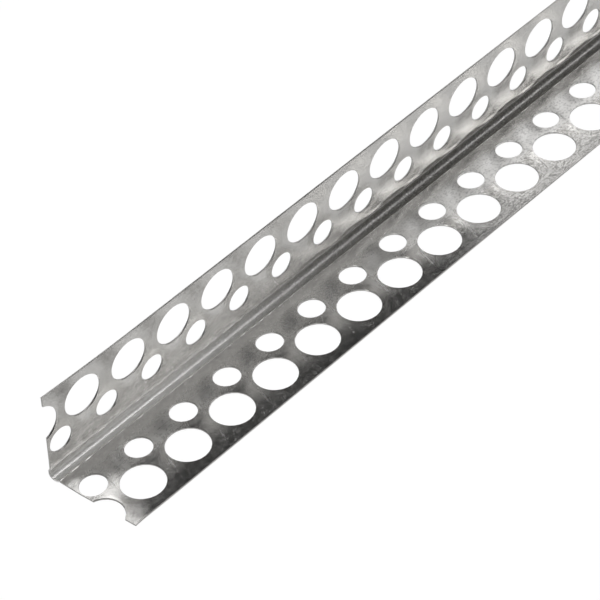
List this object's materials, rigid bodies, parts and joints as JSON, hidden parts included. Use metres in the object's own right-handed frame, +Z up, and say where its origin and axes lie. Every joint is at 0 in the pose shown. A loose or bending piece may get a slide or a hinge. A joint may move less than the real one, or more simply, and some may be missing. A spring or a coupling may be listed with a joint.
{
  "type": "drywall corner bead",
  "caption": "Perforated thin metal angle with a small raised nose, fixed over an outside corner of plasterboard and filled over to give it a straight, hard edge.",
  "frame": {"origin": "middle of the bead's length and width, on the level of the nose's underside", "axes": "+X along the bead away from the cut end in the picture, -Y along the lying flange to its free edge, +Z up along the standing flange"},
  "size_m": [2.5, 0.025, 0.025],
  "materials": {
    "mill_aluminium": "plain rolled sheet, bright but slightly dulled"
  },
  "bodies": {
    "root": {"corner_bead": "mill_aluminium"}
  },
  "joints": []
}
